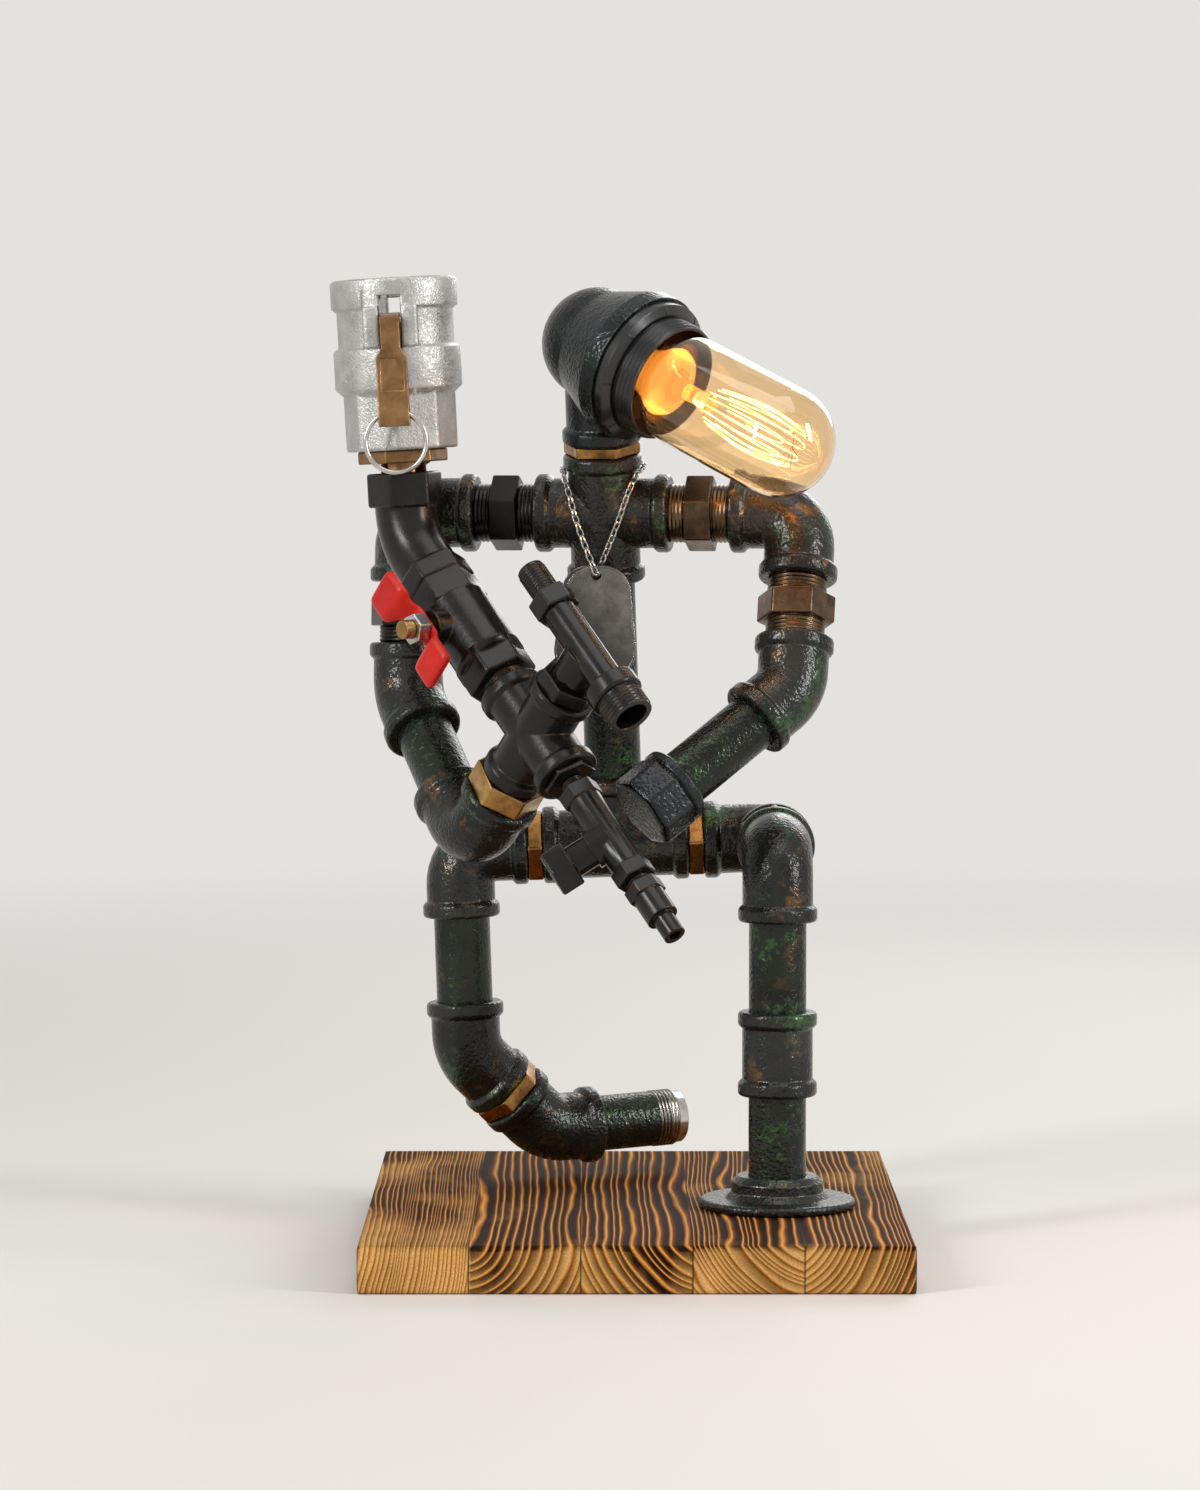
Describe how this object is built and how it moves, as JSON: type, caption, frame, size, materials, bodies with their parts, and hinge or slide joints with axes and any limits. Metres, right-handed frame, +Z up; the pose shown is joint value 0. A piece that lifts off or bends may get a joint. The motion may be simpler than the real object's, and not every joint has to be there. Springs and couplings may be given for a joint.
{
  "type": "spirits dispenser lamp",
  "caption": "Kneeling pipe-fitting figure on a wooden base: a lamp head with an amber bulb, and a held dispenser with a cam coupling for a bottle, a ball valve and a spout.",
  "frame": {"origin": "middle of the wooden base's underside, on the table", "axes": "+Z up, -Y towards the viewer of the picture, +X to the viewer's right"},
  "size_m": [0.268, 0.302, 0.457],
  "materials": {
    "wood": "charred and oiled staves",
    "iron": "black malleable iron with worn paint",
    "bronze": "bronzed hexagon nipples",
    "black_iron": "satin black paint on cast iron",
    "black_steel": "satin black",
    "red_grip": "dipped red",
    "aluminium": "bright sand cast",
    "brass": "dull",
    "steel": "bright",
    "tag_steel": "dark",
    "black_plastic": "moulded",
    "amber_glass": "clear amber",
    "filament": "lit",
    "rubber": "soft",
    "seat_plastic": "white"
  },
  "bodies": {
    "frame": {"arm_bend_left": "iron", "arm_bend_right": "iron", "back_nut": "steel", "barrel_bushing": "black_steel", "barrel_front": "black_steel", "barrel_rear": "black_steel", "chest_cross": "iron", "coupling_body": "aluminium", "coupling_bushing": "brass", "coupling_gasket": "rubber", "floor_flange": "iron", "foot_bushing": "brass", "foot_pipe": "iron", "forearm_pipe_left": "iron", "forearm_pipe_right": "iron", "grip_nipple": "bronze", "hand_cap": "iron", "hand_elbow": "iron", "head_elbow": "iron", "hip_elbow_left": "iron", "hip_elbow_right": "iron", "hip_tee": "iron", "knee_bend_left": "iron", "knee_elbow_right": "iron", "lamp_contact": "brass", "lamp_holder": "black_plastic", "leg_nipple_lower": "iron", "leg_pipes": "iron", "leg_socket": "iron", "lever_pins": "steel", "long_nipples": "bronze", "magazine_plug": "black_steel", "neck_chain": "steel", "scope_nipple": "black_steel", "scope_plug": "black_steel", "scope_tee": "black_steel", "shin_bend_left": "iron", "short_nipples": "bronze", "shoulder_elbow_left": "iron", "shoulder_elbow_right": "iron", "spine_pipe": "iron", "tap_bend": "black_iron", "tap_cross": "black_iron", "valve_body": "black_iron", "valve_end": "black_iron", "valve_seats": "seat_plastic", "wood_base": "wood"},
    "valve": {"valve_handle": "red_grip", "handle_nut": "steel", "valve_stem": "brass", "valve_ball": "steel"},
    "lever_front": {"cam_lever_front": "brass"},
    "lever_back": {"cam_lever_back": "brass"},
    "ring_front": {"lever_ring_front": "steel"},
    "ring_back": {"lever_ring_back": "steel"},
    "tags": {"tag_front": "tag_steel", "tag_back": "tag_steel"},
    "bulb": {"bulb_glass": "amber_glass", "bulb_cap": "brass", "filament": "filament"}
  },
  "joints": [
    {"name": "valve_turn", "type": "hinge", "parent": "frame", "child": "valve", "pos_m": [-0.07847, -0.04075, 0.29427], "axis": [-0.7608, -0.6486, -0.0236], "range_deg": [0, 90]},
    {"name": "front_lever", "type": "hinge", "parent": "frame", "child": "lever_front", "pos_m": [-0.11349, -0.03593, 0.43538], "axis": [-0.9975, 0.0457, -0.0546], "range_deg": [0, 95]},
    {"name": "back_lever", "type": "hinge", "parent": "frame", "child": "lever_back", "pos_m": [-0.11105, 0.01761, 0.43555], "axis": [0.9975, -0.0457, 0.0546], "range_deg": [0, 95]},
    {"name": "front_ring", "type": "hinge", "parent": "lever_front", "child": "ring_front", "pos_m": [-0.11152, -0.04299, 0.39342], "axis": [-0.9975, 0.0457, -0.0546], "range_deg": [0, 50]},
    {"name": "back_ring", "type": "hinge", "parent": "lever_back", "child": "ring_back", "pos_m": [-0.10843, 0.02473, 0.39364], "axis": [0.9975, -0.0457, 0.0546], "range_deg": [0, 35]},
    {"name": "tag_swing", "type": "hinge", "parent": "frame", "child": "tags", "pos_m": [-0.0181, -0.00875, 0.31694], "axis": [-1, 0, 0], "range_deg": [0, 20]},
    {"name": "bulb_turn", "type": "hinge", "parent": "frame", "child": "bulb", "pos_m": [0.0047, -0.02144, 0.4132], "axis": [0.7135, -0.5808, -0.3919], "range_deg": [0, 90]}
  ]
}
